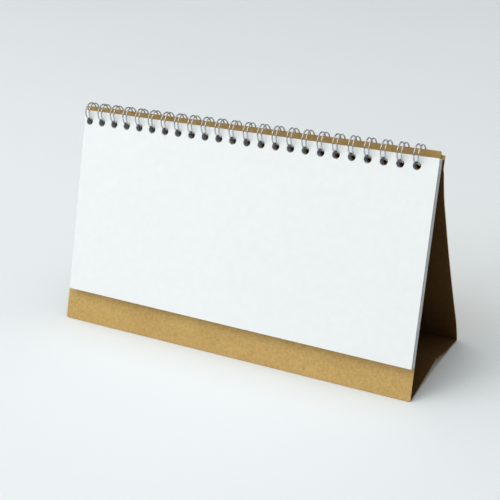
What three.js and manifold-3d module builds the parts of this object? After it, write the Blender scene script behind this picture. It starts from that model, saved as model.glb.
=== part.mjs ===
// Flip desk calendar: a folded board stand, a pad of blank leaves and a twin-loop wire binding.
// Millimetres, +Z up, +X along the binding, the leaves face -Y.
// Origin: centre of the stand's footprint, on the surface that it stands on.

import * as THREE from 'three';
import { mergeVertices } from 'three/addons/utils/BufferGeometryUtils.js';
import Module from 'manifold-3d';

// ---- Driving dimensions -------------------------------------------------------------------

// Binding: 3:1 pitch twin-loop wire
const PITCH = 25.4 / 3;
const LOOPS = 24;
const WIRE_D = 0.8;
const RING_R = 4.75;
const TWIN_HALF = 1.15;

// Leaves
const LEAF_COUNT = 13;
const LEAF_W = 210;
const LEAF_T = 0.27;
const LEAF_STEP = 0.33;
const LEAF_SIDE_BEFORE_HOLES = 4.0;
const LEAF_TOP_LEFT = 5.3;
const LEAF_TOP_RIGHT = 4.5;
const LEAF_LOW_LEFT = -95.7;
const LEAF_LOW_RIGHT = -97.2;
const PAD_TO_PANEL = 0.3;

// Board stand, its section measured back and up from the front foot
const STAND_W = 212;
const STAND_SIDE_BEFORE_HOLES = 6.0;
const BOARD_T = 0.6;
const LEAN_DEG = 20;
const PANEL_TOP_ABOVE_HOLES = 8.1;
const HOLES_ABOVE_FOOT = 114.3;
const BASE_DEPTH = 66;
const CREASE_Y = 34.6;
const CREASE_Z = 5.4;
const BASE_SAG = [
  [39.2, 4.6],
  [44.0, 3.3],
  [50.4, 2.0],
  [57.2, 1.4],
];

// Back panel: clamped behind the front panel, then bowed out to the rear fold
const BACK_CLAMP_GAP = 0.45;
const BACK_TOP_ABOVE_HOLES = 6.0;
const BACK_FLAT_BELOW_HOLES = 0.4;
const BACK_BOW = [
  [40.9, 104.5],
  [41.3, 98.0],
  [42.2, 90.5],
  [45.0, 78.5],
  [48.2, 65.5],
  [53.6, 46.0],
  [59.3, 27.0],
  [64.2, 11.5],
  [65.5, 5.0],
];
const BACK_STEPS = 15;

// Ring centre, measured from the leaf holes in the leaning plane of the front panel
const RING_ABOVE_HOLES = 5.4;
const RING_BEFORE_PANEL = 2.6;

// Holes
const HOLE_SIDES = 6;
const HOLE_R = 2.5;
const FRONT_HOLE_UP = 1.6;
const BACK_HOLE_UP = 3.1;

// Folds
const FRONT_FOLD_Y = 0.85;
const FRONT_FOLD_Z = 0.35;
const FRONT_FOLD_SETBACK = 0.75;
const CREASE_SETBACK = 0.45;
const REAR_FOLD_GAP = 0.55;

// ---- Frame helpers ------------------------------------------------------------------------

const LEAN = THREE.MathUtils.degToRad(LEAN_DEG);
const MID_X = STAND_W / 2 - STAND_SIDE_BEFORE_HOLES;
const BACK_EXTRA = BOARD_T / Math.cos(LEAN) / 2;
const MID_Y = (BASE_DEPTH + BACK_EXTRA) / 2;

// A point in the leaning plane of the front panel: up the panel from the hole line, and back
// from the panel's front face.  Returns [y, z] in the stand's own section.
function leaning(up, back) {
  const along = HOLES_ABOVE_FOOT + up;
  return [
    along * Math.sin(LEAN) + back * Math.cos(LEAN),
    along * Math.cos(LEAN) - back * Math.sin(LEAN),
  ];
}

const RING = leaning(RING_ABOVE_HOLES, -RING_BEFORE_PANEL);

const group = new THREE.Group();
group.name = 'flip_desk_calendar';

const paper = { color: 0xf3f4f1, roughness: 0.78, metalness: 0 };
const kraft = { color: 0xb9935a, roughness: 0.85, metalness: 0 };
const steel = { color: 0xc9ccce, roughness: 0.28, metalness: 1 };

function addMesh(name, geometry, look) {
  const mesh = new THREE.Mesh(geometry, new THREE.MeshStandardMaterial(look));
  mesh.name = name;
  group.add(mesh);
  return mesh;
}

// ---- Booleans -----------------------------------------------------------------------------

const wasm = await Module();
wasm.setup();

function toSolid(geometry) {
  const bare = geometry.clone();
  bare.deleteAttribute('normal');
  bare.deleteAttribute('uv');
  const merged = mergeVertices(bare, 1e-4);
  return new wasm.Manifold(new wasm.Mesh({
    numProp: 3,
    vertProperties: new Float32Array(merged.attributes.position.array),
    triVerts: new Uint32Array(merged.index.array),
  }));
}

function toGeometry(solid) {
  const mesh = solid.getMesh();
  const geometry = new THREE.BufferGeometry();
  geometry.setAttribute('position', new THREE.BufferAttribute(mesh.vertProperties, 3));
  geometry.setIndex(new THREE.BufferAttribute(mesh.triVerts, 1));
  geometry.computeVertexNormals();
  return geometry;
}

// ---- Sections extruded along X ------------------------------------------------------------

// Extrudes a closed [y, z] outline along X between two distances from the first hole.
function extrudeAlongX(outline, fromHole, length) {
  const shape = new THREE.Shape(outline.map(([y, z]) => new THREE.Vector2(y - MID_Y, z)));
  const geometry = new THREE.ExtrudeGeometry(shape, { depth: length, bevelEnabled: false });
  // the extrusion runs along its local Z; turn (y, z, depth) into (depth, y, z)
  geometry.applyMatrix4(new THREE.Matrix4().makeBasis(
    new THREE.Vector3(0, 1, 0),
    new THREE.Vector3(0, 0, 1),
    new THREE.Vector3(1, 0, 0),
  ));
  geometry.translate(fromHole - MID_X, 0, 0);
  return geometry;
}

// A prism through every punched hole, along the normal of the leaning panel.
function punchedHoles(up, frontBack, rearBack) {
  const [y, z] = leaning(up, frontBack);
  const parts = [];
  for (let i = 0; i < LOOPS; i += 1) {
    const outline = new THREE.Shape(holeOutline(0, 0));
    const prism = new THREE.ExtrudeGeometry(outline, {
      depth: rearBack - frontBack,
      bevelEnabled: false,
    });
    // local X stays X, local Y is up the panel, local Z is back through the panel
    prism.applyMatrix4(new THREE.Matrix4().makeBasis(
      new THREE.Vector3(-1, 0, 0),
      new THREE.Vector3(0, Math.sin(LEAN), Math.cos(LEAN)),
      new THREE.Vector3(0, Math.cos(LEAN), -Math.sin(LEAN)),
    ));
    prism.translate(i * PITCH - MID_X, y - MID_Y, z);
    parts.push(toSolid(prism));
  }
  return parts;
}

function holeOutline(x, y) {
  const points = [];
  for (let i = 0; i < HOLE_SIDES; i += 1) {
    const a = (i / HOLE_SIDES) * 2 * Math.PI;
    points.push(new THREE.Vector2(x + HOLE_R * Math.cos(a), y + HOLE_R * Math.sin(a)));
  }
  return points;
}

function cutAll(solid, tools) {
  return tools.reduce((left, tool) => left.subtract(tool), solid);
}

function offsetLine(line, distance) {
  return line.map(([y, z], i) => {
    const [y0, z0] = line[Math.max(i - 1, 0)];
    const [y1, z1] = line[Math.min(i + 1, line.length - 1)];
    const length = Math.hypot(y1 - y0, z1 - z0);
    return [y - (distance * (z1 - z0)) / length, z + (distance * (y1 - y0)) / length];
  });
}

// The point at a distance from one end of a line's first leg.
function setBack([[y0, z0], [y1, z1]], distance) {
  const share = distance / Math.hypot(y1 - y0, z1 - z0);
  return [y0 + (y1 - y0) * share, z0 + (z1 - z0) * share];
}

// Half a circle round the end of a board, from its left side to its right, as seen going in.
function roundEnd([y, z], [nextY, nextZ]) {
  const inward = Math.atan2(nextZ - z, nextY - y);
  const points = [];
  for (let i = 0; i <= 4; i += 1) {
    const turn = inward + THREE.MathUtils.degToRad(90 + i * 45);
    points.push([y + (BOARD_T / 2) * Math.cos(turn), z + (BOARD_T / 2) * Math.sin(turn)]);
  }
  return points;
}

// A board between two fold lines, with round ends that clear the folds as it turns.
function boardStrip(line, startSetback, endSetback) {
  const back = [...line].reverse();
  const middle = [
    setBack(line, startSetback),
    ...line.slice(1, -1),
    setBack(back, endSetback),
  ];
  const count = middle.length;
  return extrudeAlongX([
    ...roundEnd(middle[0], middle[1]),
    ...offsetLine(middle, -BOARD_T / 2).slice(1, -1),
    ...roundEnd(middle[count - 1], middle[count - 2]),
    ...offsetLine(middle, BOARD_T / 2).slice(1, -1).reverse(),
  ], -STAND_SIDE_BEFORE_HOLES, STAND_W);
}

// ---- Board stand --------------------------------------------------------------------------

// Front panel: a leaning board with a flat foot
const frontFoot = BOARD_T / Math.cos(LEAN);
const frontOutline = [
  [0, 0],
  [frontFoot, 0],
  leaning(PANEL_TOP_ABOVE_HOLES, BOARD_T),
  leaning(PANEL_TOP_ABOVE_HOLES, 0),
];
const frontSolid = cutAll(
  toSolid(extrudeAlongX(frontOutline, -STAND_SIDE_BEFORE_HOLES, STAND_W)),
  punchedHoles(FRONT_HOLE_UP, -1, BOARD_T + 1),
);
addMesh('front_panel', toGeometry(frontSolid), kraft);

// Base: two halves that meet at a raised crease
const frontFold = [FRONT_FOLD_Y, FRONT_FOLD_Z];
const crease = [CREASE_Y, CREASE_Z];
const rearFold = [BASE_DEPTH - BACK_EXTRA, FRONT_FOLD_Z];
addMesh(
  'base_front_panel',
  boardStrip([frontFold, crease], FRONT_FOLD_SETBACK, CREASE_SETBACK),
  kraft,
);
addMesh(
  'base_rear_panel',
  boardStrip([crease, ...BASE_SAG, rearFold], CREASE_SETBACK, REAR_FOLD_GAP + BOARD_T / 2),
  kraft,
);

// Back panel: its middle line runs flat behind the front panel, then follows the bow to its foot
function backMiddleLine() {
  const back = BOARD_T + BACK_CLAMP_GAP + BOARD_T / 2;
  const top = leaning(BACK_TOP_ABOVE_HOLES, back);
  const flatEnd = leaning(-BACK_FLAT_BELOW_HOLES, back);
  const foot = [BASE_DEPTH, 0];
  const curve = new THREE.CatmullRomCurve3(
    [flatEnd, ...BACK_BOW, foot].map(([y, z]) => new THREE.Vector3(0, y, z)),
    false,
    'centripetal',
  );
  const bowed = curve.getSpacedPoints(BACK_STEPS).map((p) => [p.y, p.z]);
  return [top, ...bowed];
}

const backLine = backMiddleLine();
const backOuter = offsetLine(backLine, BOARD_T / 2);
const backInner = offsetLine(backLine, -BOARD_T / 2);
// both faces end level, so the foot is flat
backOuter[backOuter.length - 1][1] = 0;
backInner[backInner.length - 1][1] = 0;
const backSolid = cutAll(
  toSolid(extrudeAlongX([...backOuter, ...backInner.reverse()],
    -STAND_SIDE_BEFORE_HOLES, STAND_W)),
  punchedHoles(BACK_HOLE_UP, BOARD_T + 0.2, 2 * BOARD_T + BACK_CLAMP_GAP + 1),
);
addMesh('back_panel', toGeometry(backSolid), kraft);

// ---- Leaves -------------------------------------------------------------------------------

// A leaf, its top and bottom trimmed slightly out of line with its row of holes
function leafGeometry() {
  const left = -LEAF_SIDE_BEFORE_HOLES;
  const right = left + LEAF_W;
  const shape = new THREE.Shape([
    new THREE.Vector2(left, LEAF_LOW_LEFT),
    new THREE.Vector2(right, LEAF_LOW_RIGHT),
    new THREE.Vector2(right, LEAF_TOP_RIGHT),
    new THREE.Vector2(left, LEAF_TOP_LEFT),
  ]);
  for (let i = 0; i < LOOPS; i += 1) {
    shape.holes.push(new THREE.Path(holeOutline(i * PITCH, 0)));
  }
  return new THREE.ExtrudeGeometry(shape, { depth: LEAF_T, bevelEnabled: false });
}

for (let i = 0; i < LEAF_COUNT; i += 1) {
  const rearFace = PAD_TO_PANEL + (LEAF_COUNT - 1 - i) * LEAF_STEP;
  const [y, z] = leaning(0, -rearFace);
  const leaf = addMesh(`leaf_${String(i + 1).padStart(2, '0')}`, leafGeometry(), paper);
  leaf.rotation.x = Math.PI / 2 - LEAN;
  leaf.position.set(-MID_X, y - MID_Y, z);
}

// ---- Wire binding -------------------------------------------------------------------------

// One continuous wire.  Each loop is a pair of nearly closed circles, joined by a round tip;
// neighbouring loops are joined by a straight root.  Tips and roots meet behind the stand.
const ROOT_DEG = -24;
const TIP_DEG = -344;
const ARC_STEPS = 11;
const TIP_STEPS = 4;
const WIRE_SIDES = 5;

function ringPoint(x, degrees) {
  const a = THREE.MathUtils.degToRad(degrees);
  return new THREE.Vector3(
    x - MID_X,
    RING[0] - MID_Y + RING_R * Math.cos(a),
    RING[1] + RING_R * Math.sin(a),
  );
}

function wirePoints() {
  const mmToDeg = THREE.MathUtils.radToDeg(1 / RING_R);
  const points = [];
  for (let loop = 0; loop < LOOPS; loop += 1) {
    const x = loop * PITCH;
    for (let i = 0; i <= ARC_STEPS; i += 1) {
      const deg = THREE.MathUtils.lerp(ROOT_DEG, TIP_DEG, i / ARC_STEPS);
      points.push(ringPoint(x - TWIN_HALF, deg));
    }
    for (let i = 1; i < TIP_STEPS; i += 1) {
      const a = (i / TIP_STEPS) * Math.PI;
      const beyond = TWIN_HALF * Math.sin(a) * mmToDeg;
      points.push(ringPoint(x - TWIN_HALF * Math.cos(a), TIP_DEG - beyond));
    }
    for (let i = ARC_STEPS; i >= 0; i -= 1) {
      const deg = THREE.MathUtils.lerp(ROOT_DEG, TIP_DEG, i / ARC_STEPS);
      points.push(ringPoint(x + TWIN_HALF, deg));
    }
    if (loop < LOOPS - 1) {
      const rise = 0.7 * mmToDeg;
      points.push(ringPoint(x + TWIN_HALF + 0.7, ROOT_DEG + rise));
      points.push(ringPoint(x + PITCH - TWIN_HALF - 0.7, ROOT_DEG + rise));
    }
  }
  return points;
}

// A path whose even steps are exactly the given points.
class Polyline extends THREE.Curve {
  constructor(points) {
    super();
    this.points = points;
  }

  getPointAt(u, target = new THREE.Vector3()) {
    const at = u * (this.points.length - 1);
    return target.copy(this.points[Math.round(at)]);
  }

  getTangentAt(u, target = new THREE.Vector3()) {
    const last = this.points.length - 1;
    const at = Math.round(u * last);
    const here = this.points[at];
    const before = this.points[Math.max(at - 1, 0)];
    const after = this.points[Math.min(at + 1, last)];
    const into = here.clone().sub(before).normalize();
    const outOf = after.clone().sub(here).normalize();
    return target.copy(into.add(outOf)).normalize();
  }
}

const wirePath = new Polyline(wirePoints());
const wireSection = new THREE.Shape();
for (let i = 0; i < WIRE_SIDES; i += 1) {
  const a = (i / WIRE_SIDES) * 2 * Math.PI;
  const x = (WIRE_D / 2) * Math.cos(a);
  const y = (WIRE_D / 2) * Math.sin(a);
  if (i === 0) {
    wireSection.moveTo(x, y);
  } else {
    wireSection.lineTo(x, y);
  }
}
wireSection.closePath();
addMesh('wire_binding', new THREE.ExtrudeGeometry(wireSection, {
  steps: wirePath.points.length - 1,
  extrudePath: wirePath,
  bevelEnabled: false,
}), steel);

export default group;
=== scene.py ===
"""Flip desk calendar: fine geometry, materials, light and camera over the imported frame."""
import math
import random

import bmesh
import bpy
from mathutils import Matrix, Vector


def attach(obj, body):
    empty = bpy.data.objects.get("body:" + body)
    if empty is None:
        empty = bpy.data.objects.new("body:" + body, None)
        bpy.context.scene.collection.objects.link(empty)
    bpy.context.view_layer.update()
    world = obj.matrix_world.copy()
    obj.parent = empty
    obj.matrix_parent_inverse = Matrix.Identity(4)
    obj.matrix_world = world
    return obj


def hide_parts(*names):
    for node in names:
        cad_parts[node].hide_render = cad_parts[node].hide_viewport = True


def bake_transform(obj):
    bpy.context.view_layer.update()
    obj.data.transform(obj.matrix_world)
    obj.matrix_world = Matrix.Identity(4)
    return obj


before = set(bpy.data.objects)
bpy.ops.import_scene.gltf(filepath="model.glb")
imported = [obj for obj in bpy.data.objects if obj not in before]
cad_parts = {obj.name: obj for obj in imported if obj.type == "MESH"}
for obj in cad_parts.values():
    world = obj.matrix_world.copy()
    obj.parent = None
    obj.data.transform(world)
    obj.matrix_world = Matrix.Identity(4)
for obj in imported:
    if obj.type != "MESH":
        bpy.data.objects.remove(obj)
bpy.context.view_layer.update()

MM = 0.001

# ---- Driving dimensions, in millimetres ---------------------------------------------------
# Most repeat the CAD's. The wire's thickness, the holes, the corners of boards and leaves, and
# the gaps at the base's folds have their own numbers here. Corners are top right, top left,
# bottom left and bottom right, each measured along the binding from the first hole and up the
# panel from the hole line.

# Binding: the rings' centre is above the hole line and in front of the panel
PITCH = 25.4 / 3
LOOPS = 24
WIRE_D = 0.75
RING_R = 4.75
RING_UP = 5.4
RING_BEFORE = 2.6
TWIN_HALF = 1.15
ROOT_DEG = -24.0
TIP_DEG = -344.0
ROOT_BEND_R = 0.7
ARC_STEPS = 60
TIP_STEPS = 8
ROOT_STEPS = 4

# Holes
HOLE_R = 2.1
HOLE_SIDES = 28
PANEL_HOLE_UP = 0.4
BACK_HOLE_UP = 1.9

# Leaves
LEAF_COUNT = 13
LEAF_T = 0.27
LEAF_STEP = 0.33
PAD_TO_PANEL = 0.3
FIRST_LEAF_CORNERS = ((205.5, 4.7), (-3.5, 5.9), (-3.1, -95.8), (206.0, -97.2))
LEAF_CORNERS = ((205.4, 4.5), (-3.4, 5.25), (-3.1, -95.7), (205.9, -97.1))
LEAF_EDGE_R = 0.04
LEAF_CORNER_R = 0.35
SLIP_SEED = 7
SLIP_ACROSS = (-0.15, 0.1)
SLIP_UP = (-0.12, 0.0)

# Stand: points of its section are measured back and up from the front foot
STAND_W = 212.0
STAND_SIDE = 6.0
BOARD_T = 0.6
LEAN = math.radians(20)
HOLES_ABOVE_FOOT = 114.3
BASE_DEPTH = 66.0
PANEL_CORNERS = ((204.3, 8.1), (-6.0, 8.3), (-6.7, -113.95), (206.0, -113.95))
PANEL_EDGE_R = 0.07
PANEL_CORNER_R = 0.8

# Back panel: clamped behind the front panel by the wire, then bowed out to the rear foot
BACK_CORNERS = ((206.0, 6.3), (-6.0, 6.0), (-6.0, -0.4), (206.0, -0.4))
BACK_EDGE_R = 0.05
BACK_CORNER_R = 0.35
CLAMP_GAP = 0.45
BACK_FLAT = -0.4
BACK_OVERLAP = 0.5
BACK_BOW = [
    (40.9, 104.5), (41.3, 98.0), (42.2, 90.5), (45.0, 78.5), (48.2, 65.5),
    (53.6, 46.0), (59.3, 27.0), (64.2, 11.5), (65.5, 5.0),
]
BOW_STEPS = 8
# half the board's thickness, measured level where the board leans
BACK_EXTRA = BOARD_T / math.cos(LEAN) / 2

# Base: two halves that meet in the crease, each cut back a little from its folds
FRONT_FOLD = (0.85, 0.35)
CREASE = (34.6, 5.4)
REAR_FOLD = (BASE_DEPTH - BACK_EXTRA, FRONT_FOLD[1])
BASE_SAG = [(39.2, 4.6), (44.0, 3.3), (50.4, 2.0), (57.2, 1.4)]
SAG_STEPS = 6
FROM_FRONT_FOLD = 0.5
FROM_CREASE = 0.2
FROM_REAR_FOLD = 0.6
CREASE_SIDES = 16
FOLD_OUTLINE = [
    (0.2, 0.08), (0.5, 0.0), (1.0, 0.04), (1.5, 0.15), (1.45, 0.74), (0.9, 0.66), (0.45, 0.6),
]

# The frame's origin, from the first hole and the front foot
MID_X = STAND_W / 2 - STAND_SIDE
MID_Y = (BASE_DEPTH + BACK_EXTRA) / 2

# Angles beyond which a mesh's edges are left sharp, in degrees
SLAB_SHARP = 35
STRIP_SHARP = 40
ROUND_SHARP = 60

# Cosines for picking faces by their normals
LOOKS_ALONG = 0.55
EDGE_ON = 0.5


# ---- Places -------------------------------------------------------------------------------

FACING = Vector((0, -math.cos(LEAN), math.sin(LEAN)))


def leaning(up, back):
    """(y, z) of a point in the leaning plane, up from the hole line and back from its face."""
    along = HOLES_ABOVE_FOOT + up
    return (along * math.sin(LEAN) + back * math.cos(LEAN),
            along * math.cos(LEAN) - back * math.sin(LEAN))


def plane_matrix(back):
    """Local X along the binding from the first hole, Y up the panel, Z towards the reader."""
    y, z = leaning(0, back)
    up = Vector((0, math.sin(LEAN), math.cos(LEAN)))
    turn = Matrix((Vector((1, 0, 0)), up, FACING)).transposed().to_4x4()
    return Matrix.Translation((-MID_X * MM, (y - MID_Y) * MM, z * MM)) @ turn


def set_back(here, there, distance):
    """The point at a distance from here on the way to there."""
    way = Vector(there) - Vector(here)
    return tuple(Vector(here) + way.normalized() * distance)


# ---- Mesh makers --------------------------------------------------------------------------

def add_object(name, mesh, material):
    piece = bpy.data.objects.new(name, mesh)
    bpy.context.scene.collection.objects.link(piece)
    mesh.materials.clear()
    mesh.materials.append(material)
    return piece


def smooth(mesh, degrees):
    """Smooth shading, with the edges beyond an angle left sharp."""
    mesh.polygons.foreach_set("use_smooth", [True] * len(mesh.polygons))
    mesh.set_sharp_from_angle(angle=math.radians(degrees))


def curve_mesh(curve):
    """The mesh that a curve's fill and bevel make."""
    holder = bpy.data.objects.new("holder", curve)
    bpy.context.scene.collection.objects.link(holder)
    graph = bpy.context.evaluated_depsgraph_get()
    mesh = bpy.data.meshes.new_from_object(holder.evaluated_get(graph))
    bpy.data.objects.remove(holder)
    bpy.data.curves.remove(curve)
    return mesh


def closed_spline(curve, points):
    spline = curve.splines.new("POLY")
    spline.points.add(len(points) - 1)
    for point, (x, y) in zip(spline.points, points):
        point.co = (x * MM, y * MM, 0, 1)
    spline.use_cyclic_u = True


def punched_slab(corners, thickness, hole_up, edge_r, corner_r):
    """A board or leaf with soft edges and a row of round holes, centred on its local Z."""
    curve = bpy.data.curves.new("slab", "CURVE")
    curve.dimensions = "2D"
    curve.fill_mode = "BOTH"
    curve.extrude = (thickness / 2 - edge_r) * MM
    curve.bevel_depth = edge_r * MM
    curve.bevel_resolution = 1
    curve.offset = -edge_r * MM
    outline = []
    for quarter, (cx, cy) in enumerate(corners):
        cx += corner_r * (1 if quarter in (1, 2) else -1)
        cy += corner_r * (1 if quarter in (2, 3) else -1)
        for turn in range(0, 91, 18):
            a = math.radians(90 * quarter + turn)
            outline.append((cx + corner_r * math.cos(a), cy + corner_r * math.sin(a)))
    closed_spline(curve, outline)
    around = [-2 * math.pi * k / HOLE_SIDES for k in range(HOLE_SIDES)]
    for x in (i * PITCH for i in range(LOOPS)):
        closed_spline(curve, [(x + HOLE_R * math.cos(a), hole_up + HOLE_R * math.sin(a))
                              for a in around])
    mesh = curve_mesh(curve)
    smooth(mesh, SLAB_SHARP)
    return mesh


def strip_mesh(outline):
    """A closed (y, z) outline, in the stand's section, drawn out over the stand's width."""
    mesh = bpy.data.meshes.new("strip")
    n = len(outline)
    verts = []
    for x in (-STAND_SIDE, STAND_W - STAND_SIDE):
        verts += [((x - MID_X) * MM, (y - MID_Y) * MM, z * MM) for y, z in outline]
    faces = [tuple(range(n))[::-1], tuple(range(n, 2 * n))]
    for i in range(n):
        j = (i + 1) % n
        faces.append((i, j, n + j, n + i))
    mesh.from_pydata(verts, [], faces)
    mesh.validate()
    work = bmesh.new()
    work.from_mesh(mesh)
    bmesh.ops.recalc_face_normals(work, faces=work.faces)
    work.to_mesh(mesh)
    work.free()
    return mesh


def catmull(points, steps):
    """Centripetal Catmull-Rom through the points, with that many steps in each span."""
    pts = [Vector(p) for p in points]
    pts = [pts[0] * 2 - pts[1]] + pts + [pts[-1] * 2 - pts[-2]]
    line = []
    for i in range(1, len(pts) - 2):
        p0, p1, p2, p3 = pts[i - 1:i + 3]
        t0 = 0.0
        t1 = t0 + (p1 - p0).length ** 0.5
        t2 = t1 + (p2 - p1).length ** 0.5
        t3 = t2 + (p3 - p2).length ** 0.5
        for k in range(steps):
            t = t1 + (t2 - t1) * k / steps
            a1 = p0 * ((t1 - t) / (t1 - t0)) + p1 * ((t - t0) / (t1 - t0))
            a2 = p1 * ((t2 - t) / (t2 - t1)) + p2 * ((t - t1) / (t2 - t1))
            a3 = p2 * ((t3 - t) / (t3 - t2)) + p3 * ((t - t2) / (t3 - t2))
            b1 = a1 * ((t2 - t) / (t2 - t0)) + a2 * ((t - t0) / (t2 - t0))
            b2 = a2 * ((t3 - t) / (t3 - t1)) + a3 * ((t - t1) / (t3 - t1))
            line.append(b1 * ((t2 - t) / (t2 - t1)) + b2 * ((t - t1) / (t2 - t1)))
    line.append(pts[-2])
    return line


def board_sides(line):
    """The two sides of a board whose middle runs along the line, both from its start."""
    half = BOARD_T / 2
    left, right = [], []
    for i, (y, z) in enumerate(line):
        before = line[max(i - 1, 0)]
        after = line[min(i + 1, len(line) - 1)]
        way = (Vector(after) - Vector(before)).normalized()
        left.append((y - way[1] * half, z + way[0] * half))
        right.append((y + way[1] * half, z - way[0] * half))
    return left, right


def face_material(mesh, material, *tests):
    """Gives another material to the faces for which a test(normal, centre) holds."""
    mesh.materials.append(material)
    for face in mesh.polygons:
        if any(test(face.normal, face.center) for test in tests):
            face.material_index = len(mesh.materials) - 1


def looks(x, y, z):
    """A test for faces that look along a direction."""
    way = Vector((x, y, z))
    return lambda normal, centre: normal.dot(way) > LOOKS_ALONG


def is_edge_on(normal, centre):
    """A test for the faces round a slab in the leaning plane, and the walls of its holes."""
    return abs(normal.dot(FACING)) < EDGE_ON


def hole_walls(back, up):
    """A test for the walls of the holes of a slab in the leaning plane."""
    to_plane = plane_matrix(back).inverted()
    row_end, reach = 3.0, 1.05 * HOLE_R

    def test(normal, centre):
        x, y, _ = to_plane @ centre / MM
        in_row = -row_end < x < (LOOPS - 1) * PITCH + row_end
        return in_row and abs(y - up) < reach and is_edge_on(normal, centre)

    return test


# ---- Materials ----------------------------------------------------------------------------

KRAFT_DARK = (0.535, 0.343, 0.112, 1)
KRAFT_PALE = (0.61, 0.40, 0.142, 1)
KRAFT_SPECK = (0.27, 0.15, 0.055, 1)
KRAFT_CORE = (0.60, 0.44, 0.235, 1)
UNSHADED = (1, 1, 1, 1)
# painted shade: the dark tone of the faces inside the stand, the base's top and the walls of the
# holes, where shadow falls
INSIDE_PAINTED_SHADE = (0.17, 0.12, 0.06, 1)
CUT_SHADE = (1.25, 1.35, 1.6, 1)
PAPER_DARK = (0.87, 0.90, 0.89, 1)
PAPER_PALE = (0.90, 0.925, 0.915, 1)
# painted shade: how much darker the leaves' edges and the walls of their holes are drawn
PAPER_EDGE_PAINTED_SHADE = 0.5
STEEL_DARK = (0.45, 0.45, 0.46, 1)
STEEL_PALE = (0.60, 0.60, 0.61, 1)
FLOOR_DARK = (0.825, 0.862, 0.866, 1)
FLOOR_PALE = (0.84, 0.877, 0.88, 1)

# Heights in metres, from and to: where the board's top darkens with painted shade from the rings
# and the pad, and where the painted shade of the inner faces stops
RING_SHADE_BAND = (0.104, 0.111)
SHADE_TINT_TOP = (0.1106, 0.1114)

# A mix node has several sockets of one name, so its colour sockets go by number
MIX_FACTOR, MIX_A, MIX_B, MIX_RESULT = 0, 6, 7, 2


class Nodes:
    """Builds a material's nodes. Its methods take and return sockets."""

    def __init__(self, name):
        self.material = bpy.data.materials.new(name)
        self.material.use_nodes = True
        self.tree = self.material.node_tree
        self.tree.nodes.clear()
        self.surface = self.add("ShaderNodeBsdfPrincipled")
        self.add("ShaderNodeOutputMaterial", Surface=self.surface.outputs["BSDF"])
        self.place = self.add("ShaderNodeTexCoord").outputs["Object"]

    def feed(self, into, value):
        """Links an output to an input, or sets the input to a plain value."""
        if isinstance(value, bpy.types.NodeSocket):
            self.tree.links.new(value, into)
        else:
            into.default_value = value

    def add(self, kind, **values):
        """A new node, with its inputs and its other settings by name."""
        node = self.tree.nodes.new(kind)
        for key, value in values.items():
            if key in node.inputs:
                self.feed(node.inputs[key], value)
            else:
                setattr(node, key, value)
        return node

    def set(self, name, value):
        """Gives the material's surface one of its inputs."""
        self.feed(self.surface.inputs[name], value)

    def noise(self, scale, detail, rough, stretch=(1, 1, 1), turn=(0, 0, 0)):
        place = self.add("ShaderNodeMapping", Vector=self.place, Scale=stretch, Rotation=turn)
        return self.add("ShaderNodeTexNoise", Vector=place.outputs["Vector"], Scale=scale,
                        Detail=detail, Roughness=rough).outputs["Fac"]

    def ramp(self, source, *stops):
        """A colour ramp, each of its stops a place and a colour or a grey level."""
        node = self.add("ShaderNodeValToRGB", Fac=source)
        elements = node.color_ramp.elements
        while len(elements) < len(stops):
            elements.new(0.5)
        for element, (at, colour) in zip(elements, stops):
            element.position = at
            element.color = colour if isinstance(colour, tuple) else grey(colour)
        return node.outputs["Color"]

    def by_height(self, band, below, above):
        """A value that changes evenly over a band of heights."""
        height = self.add("ShaderNodeSeparateXYZ", Vector=self.place).outputs["Z"]
        span = {"From Min": band[0], "From Max": band[1], "To Min": below, "To Max": above}
        return self.add("ShaderNodeMapRange", Value=height, **span).outputs["Result"]

    def mix(self, kind, a, b, factor):
        node = self.add("ShaderNodeMix", data_type="RGBA", blend_type=kind)
        for index, value in ((MIX_FACTOR, factor), (MIX_A, a), (MIX_B, b)):
            self.feed(node.inputs[index], value)
        return node.outputs[MIX_RESULT]

    def work_out(self, kind, *values):
        """One step of arithmetic."""
        node = self.add("ShaderNodeMath", operation=kind)
        for into, value in zip(node.inputs, values):
            self.feed(into, value)
        return node.outputs["Value"]

    def bump(self, source, strength, distance, **under):
        return self.add("ShaderNodeBump", Height=source, Strength=strength, Distance=distance,
                        **under).outputs["Normal"]


def grey(level):
    return (level, level, level, 1)


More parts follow.
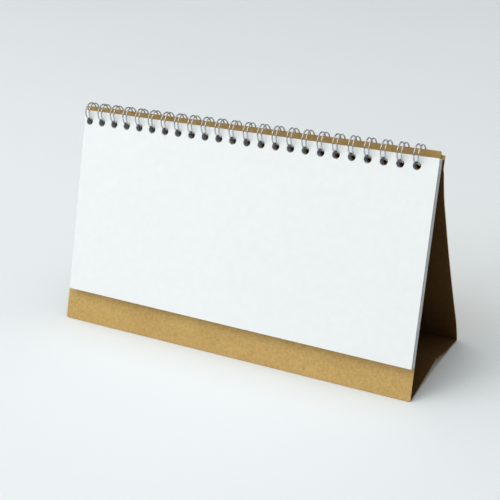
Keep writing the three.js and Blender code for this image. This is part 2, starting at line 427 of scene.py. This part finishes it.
def kraft_material(name, shade):
    n = Nodes(name)
    fibres = n.noise(1.0, 4.0, 0.65, (750, 1300, 1300), (0.2, 0.1, 0.05))
    crossed = n.noise(1.0, 3.0, 0.6, (1500, 600, 600), (0.4, -0.2, 0.1))
    mottled = n.noise(620.0, 4.0, 0.75)
    tone = n.ramp(n.noise(55.0, 3.0, 0.6), (0.25, KRAFT_DARK), (0.75, KRAFT_PALE))
    for grain, stops, factor in (
            (fibres, ((0.3, 0.86), (0.5, 1.0), (0.72, 1.12)), 0.75),
            (crossed, ((0.28, 0.9), (0.5, 1.0), (0.75, 1.08)), 0.7),
            (mottled, ((0.32, 0.84), (0.5, 1.0), (0.68, 1.12)), 1.0)):
        tone = n.mix("MULTIPLY", tone, n.ramp(grain, *stops), factor)
    # dark specks
    cells = n.add("ShaderNodeTexVoronoi", feature="F1", Vector=n.place, Scale=420.0)
    specks = n.ramp(cells.outputs["Distance"], (0.06, 1.0), (0.13, 0.0))
    tone = n.mix("MIX", tone, KRAFT_SPECK, n.work_out("MULTIPLY", specks, 0.35))
    # faces that look along X are cut ends, which show the board's paler core
    normal = n.add("ShaderNodeNewGeometry").outputs["True Normal"]
    along_x = n.add("ShaderNodeSeparateXYZ", Vector=normal).outputs["X"]
    cut = n.ramp(n.work_out("ABSOLUTE", along_x), (0.80, 0.0), (0.95, 0.3))
    tone = n.mix("MIX", tone, KRAFT_CORE, cut)
    # painted shade: the board is darker along its top, under the rings and the pad, and the
    # material's tint (painted shade on the inner faces) stops short of the top edge
    tone = n.mix("MULTIPLY", tone, n.by_height(RING_SHADE_BAND, 1.0, 0.74), 1.0)
    tone = n.mix("MULTIPLY", tone, shade, n.by_height(SHADE_TINT_TOP, 1.0, 0.0))
    n.set("Base Color", tone)
    n.set("Roughness", n.ramp(crossed, (0.3, 0.72), (0.7, 0.9)))
    n.set("Specular IOR Level", 0.28)
    under = n.bump(fibres, 0.35, 0.00008)
    n.set("Normal", n.bump(crossed, 0.25, 0.00006, Normal=under))
    return n.material


def paper_material(name, shade):
    n = Nodes(name)
    clouds = n.noise(260.0, 4.0, 0.7)
    fine = n.noise(1.0, 3.0, 0.6, (2600, 2600, 2600))
    tone = n.ramp(clouds, (0.3, PAPER_DARK), (0.7, PAPER_PALE))
    n.set("Base Color", n.mix("MULTIPLY", tone, grey(shade), 1.0))
    n.set("Roughness", n.ramp(fine, (0.3, 0.52), (0.7, 0.68)))
    n.set("Specular IOR Level", 0.35)
    under = n.bump(fine, 0.18, 0.00003)
    n.set("Normal", n.bump(clouds, 0.05, 0.0001, Normal=under))
    return n.material


def wire_material():
    n = Nodes("wire_steel")
    drawn = n.noise(1.0, 4.0, 0.7, (900, 900, 900))
    n.set("Base Color", n.ramp(drawn, (0.3, STEEL_DARK), (0.7, STEEL_PALE)))
    n.set("Metallic", 1.0)
    n.set("Roughness", n.ramp(drawn, (0.3, 0.2), (0.75, 0.34)))
    n.set("Normal", n.bump(drawn, 0.1, 0.00003))
    return n.material


def floor_material():
    n = Nodes("studio_floor")
    soft = n.noise(3.0, 2.0, 0.5)
    n.set("Base Color", n.ramp(soft, (0.3, FLOOR_DARK), (0.7, FLOOR_PALE)))
    n.set("Roughness", 0.75)
    n.set("Specular IOR Level", 0.2)
    return n.material


kraft = kraft_material("kraft_board", UNSHADED)
# kraft with painted shade, for the faces inside the stand and the walls of its holes
kraft_painted_shade = kraft_material("kraft_board_painted_shade", INSIDE_PAINTED_SHADE)
kraft_cut = kraft_material("kraft_board_cut", CUT_SHADE)
paper = paper_material("white_paper", 1.0)
# paper with painted shade, for the leaves' edges and the walls of their holes
paper_painted_shade = paper_material("white_paper_painted_shade", PAPER_EDGE_PAINTED_SHADE)
steel = wire_material()


# ---- Leaves -------------------------------------------------------------------------------

random.seed(SLIP_SEED)
for index in range(LEAF_COUNT):
    node = f"leaf_{index + 1:02d}"
    rear = PAD_TO_PANEL + (LEAF_COUNT - 1 - index) * LEAF_STEP
    leaf = punched_slab(LEAF_CORNERS if index else FIRST_LEAF_CORNERS, LEAF_T, 0.0,
                        LEAF_EDGE_R, LEAF_CORNER_R)
    leaf_place = plane_matrix(-rear - LEAF_T / 2)
    if index > 0:
        # the leaves behind the first have slipped a little on the wire
        leaf_place @= Matrix.Translation((random.uniform(*SLIP_ACROSS) * MM,
                                          random.uniform(*SLIP_UP) * MM, 0))
    leaf.transform(leaf_place)
    leaf_piece = add_object(f"{node}_fine", leaf, paper)
    # painted shade on the leaf's edges and the walls of its holes
    face_material(leaf, paper_painted_shade, is_edge_on)
    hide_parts(node)
    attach(leaf_piece, f"{node}_body")


# ---- Stand --------------------------------------------------------------------------------

front = punched_slab(PANEL_CORNERS, BOARD_T, PANEL_HOLE_UP, PANEL_EDGE_R, PANEL_CORNER_R)
front.transform(plane_matrix(BOARD_T / 2))
front_piece = add_object("front_panel_fine", front, kraft)
# painted shade on the front panel's rear face and the walls of its holes
face_material(front, kraft_painted_shade, looks(0, 1, 0), hole_walls(BOARD_T / 2, PANEL_HOLE_UP))
face_material(front, kraft_cut, looks(1, 0, 0))
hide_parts("front_panel")
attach(front_piece, "stand")

back_mid = BOARD_T + CLAMP_GAP + BOARD_T / 2
clamped = punched_slab(BACK_CORNERS, BOARD_T, BACK_HOLE_UP, BACK_EDGE_R, BACK_CORNER_R)
clamped.transform(plane_matrix(back_mid))
clamped_piece = add_object("back_panel_top", clamped, kraft)
# painted shade on the clamped part's front face and the walls of its holes
face_material(clamped, kraft_painted_shade, looks(0, -1, 0), hole_walls(back_mid, BACK_HOLE_UP))
face_material(clamped, kraft_cut, looks(1, 0, 0))
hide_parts("back_panel")
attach(clamped_piece, "back")

# the bowed part starts a little up the clamped one, and its foot is cut level
bow = catmull([leaning(BACK_FLAT + BACK_OVERLAP, back_mid), leaning(BACK_FLAT, back_mid)]
              + BACK_BOW + [(BASE_DEPTH, 0.0)], BOW_STEPS)
outer, inner = board_sides(bow)
outer[-1] = (outer[-1][0], 0.0)
inner[-1] = (inner[-1][0], 0.0)
bowed = strip_mesh(outer + inner[::-1])
smooth(bowed, STRIP_SHARP)
bowed_piece = add_object("back_panel_bowed", bowed, kraft)
# painted shade on the bowed part's inner face
face_material(bowed, kraft_painted_shade, looks(0, -1, 0))
face_material(bowed, kraft_cut, looks(1, 0, 0))
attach(bowed_piece, "back")

front_line = [set_back(FRONT_FOLD, CREASE, FROM_FRONT_FOLD),
              set_back(CREASE, FRONT_FOLD, FROM_CREASE)]
rear_line = catmull([set_back(CREASE, BASE_SAG[0], FROM_CREASE)] + BASE_SAG
                    + [set_back(REAR_FOLD, BASE_SAG[-1], FROM_REAR_FOLD)], SAG_STEPS)
for node, body, line in (("base_front_panel", "base_front", front_line),
                         ("base_rear_panel", "base_rear", rear_line)):
    upper, lower = board_sides(line)
    half = strip_mesh(upper + lower[::-1])
    smooth(half, STRIP_SHARP)
    half_piece = add_object(f"{node}_fine", half, kraft)
    # painted shade on the base halves' upper faces and right cut ends
    face_material(half, kraft_painted_shade, looks(0, 0, 1), looks(1, 0, 0))
    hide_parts(node)
    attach(half_piece, body)

# the board bent round the crease, and round the front fold
crease = strip_mesh([
    (CREASE[0] + BOARD_T / 2 * math.cos(a), CREASE[1] + BOARD_T / 2 * math.sin(a))
    for a in (2 * math.pi * k / CREASE_SIDES for k in range(CREASE_SIDES))
])
smooth(crease, ROUND_SHARP)
crease_piece = add_object("crease_bend", crease, kraft)
# painted shade on the crease's upper side
face_material(crease, kraft_painted_shade, looks(0, 0, 1))
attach(crease_piece, "base_front")

fold_piece = add_object("front_fold_bend", strip_mesh(FOLD_OUTLINE), kraft)
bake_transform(fold_piece)


# ---- Wire ---------------------------------------------------------------------------------

RING = leaning(RING_UP, -RING_BEFORE)


def ring_point(x, degrees):
    """A point on the rings' cylinder, x along the binding from the first hole."""
    a = math.radians(degrees)
    return Vector(((x - MID_X) * MM, (RING[0] - MID_Y + RING_R * math.cos(a)) * MM,
                   (RING[1] + RING_R * math.sin(a)) * MM))


def wire_points():
    """The one wire's path: round a ring to its tip, back round it and along to the next."""
    degrees_per_mm = math.degrees(1 / RING_R)
    arc = [ROOT_DEG + (TIP_DEG - ROOT_DEG) * i / ARC_STEPS for i in range(ARC_STEPS + 1)]
    tip = [math.pi * i / TIP_STEPS for i in range(1, TIP_STEPS)]
    root = [math.pi / 2 * i / ROOT_STEPS for i in range(1, ROOT_STEPS)]
    points = []
    for loop in range(LOOPS):
        x = loop * PITCH
        points += [ring_point(x - TWIN_HALF, degrees) for degrees in arc]
        points += [ring_point(x - TWIN_HALF * math.cos(a),
                              TIP_DEG - TWIN_HALF * math.sin(a) * degrees_per_mm) for a in tip]
        points += [ring_point(x + TWIN_HALF, degrees) for degrees in reversed(arc)]
        if loop < LOOPS - 1:
            for start, way, bend in ((x + TWIN_HALF, 1, root),
                                     (x + PITCH - TWIN_HALF, -1, root[::-1])):
                points += [ring_point(start + way * ROOT_BEND_R * (1 - math.cos(a)),
                                      ROOT_DEG + ROOT_BEND_R * degrees_per_mm * math.sin(a))
                           for a in bend]
    return points


wire_curve = bpy.data.curves.new("wire", "CURVE")
wire_curve.dimensions = "3D"
wire_curve.bevel_depth = WIRE_D / 2 * MM
wire_curve.bevel_resolution = 3
wire_curve.use_fill_caps = True
wire_path = wire_points()
wire_spline = wire_curve.splines.new("POLY")
wire_spline.points.add(len(wire_path) - 1)
for spline_point, wire_point in zip(wire_spline.points, wire_path):
    spline_point.co = (*wire_point, 1)
wire = curve_mesh(wire_curve)
smooth(wire, ROUND_SHARP)
wire_piece = add_object("wire_binding_fine", wire, steel)
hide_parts("wire_binding")
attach(wire_piece, "stand")


# ---- Floor, light and camera, in metres ---------------------------------------------------

FLOOR_HALF = 8
FLOOR_DROP = 0.0001
# how high a direction points, and how bright the room is there: pale at the horizon and overhead
SKY_LEVELS = ((0.0, 0.50), (0.3, 0.14), (0.9, 0.42))
LENS_MM = 76.63
SENSOR_MM = 36
CAMERA_PLACE = (0.2709, -0.44263, 0.29067)
CAMERA_TURN = (1.13283, 0.05813, 0.52133)

floor_mesh = bpy.data.meshes.new("floor")
floor_mesh.from_pydata([(x * FLOOR_HALF, y * FLOOR_HALF, 0)
                        for x, y in ((-1, -1), (1, -1), (1, 1), (-1, 1))], [], [(0, 1, 2, 3)])
floor_mesh.materials.append(floor_material())
floor = bpy.data.objects.new("floor", floor_mesh)
floor.location.z = -FLOOR_DROP
bpy.context.scene.collection.objects.link(floor)


def area_light(name, place, target, side, power):
    """A square light that faces its target."""
    light = bpy.data.lights.new(name, "AREA")
    light.shape = "SQUARE"
    light.size = side
    light.energy = power
    lamp = bpy.data.objects.new(name, light)
    lamp.location = place
    lamp.rotation_euler = (Vector(target) - Vector(place)).to_track_quat("-Z", "Y").to_euler()
    bpy.context.scene.collection.objects.link(lamp)


def studio_world():
    world = bpy.data.worlds.new("studio")
    world.use_nodes = True
    nodes, links = world.node_tree.nodes, world.node_tree.links
    split = nodes.new("ShaderNodeSeparateXYZ")
    links.new(nodes.new("ShaderNodeTexCoord").outputs["Generated"], split.inputs["Vector"])
    sky = nodes.new("ShaderNodeValToRGB")
    sky.color_ramp.elements.new(0.5)
    for stop, (at, level) in zip(sky.color_ramp.elements, SKY_LEVELS):
        stop.position = at
        stop.color = (level, 1.04 * level, 1.06 * level, 1)
    links.new(split.outputs["Z"], sky.inputs["Fac"])
    links.new(sky.outputs["Color"], nodes["Background"].inputs["Color"])
    return world


area_light("key", (-1.3, -1.05, 1.35), (0, 0, 0.05), 1.5, 15)
area_light("top", (-0.4, -0.2, 3.2), (0, 0, 0), 3.2, 42)
area_light("front", (-0.7, -2.2, 2.5), (0, 0, 0), 2.4, 26)
bpy.context.scene.world = studio_world()
bpy.context.scene.view_settings.view_transform = "Standard"

camera_data = bpy.data.cameras.new("camera")
camera_data.lens = LENS_MM
camera_data.sensor_width = SENSOR_MM
camera_data.clip_start = 0.01
camera = bpy.data.objects.new("camera", camera_data)
camera.location = CAMERA_PLACE
camera.rotation_euler = CAMERA_TURN
bpy.context.scene.collection.objects.link(camera)
bpy.context.scene.camera = camera
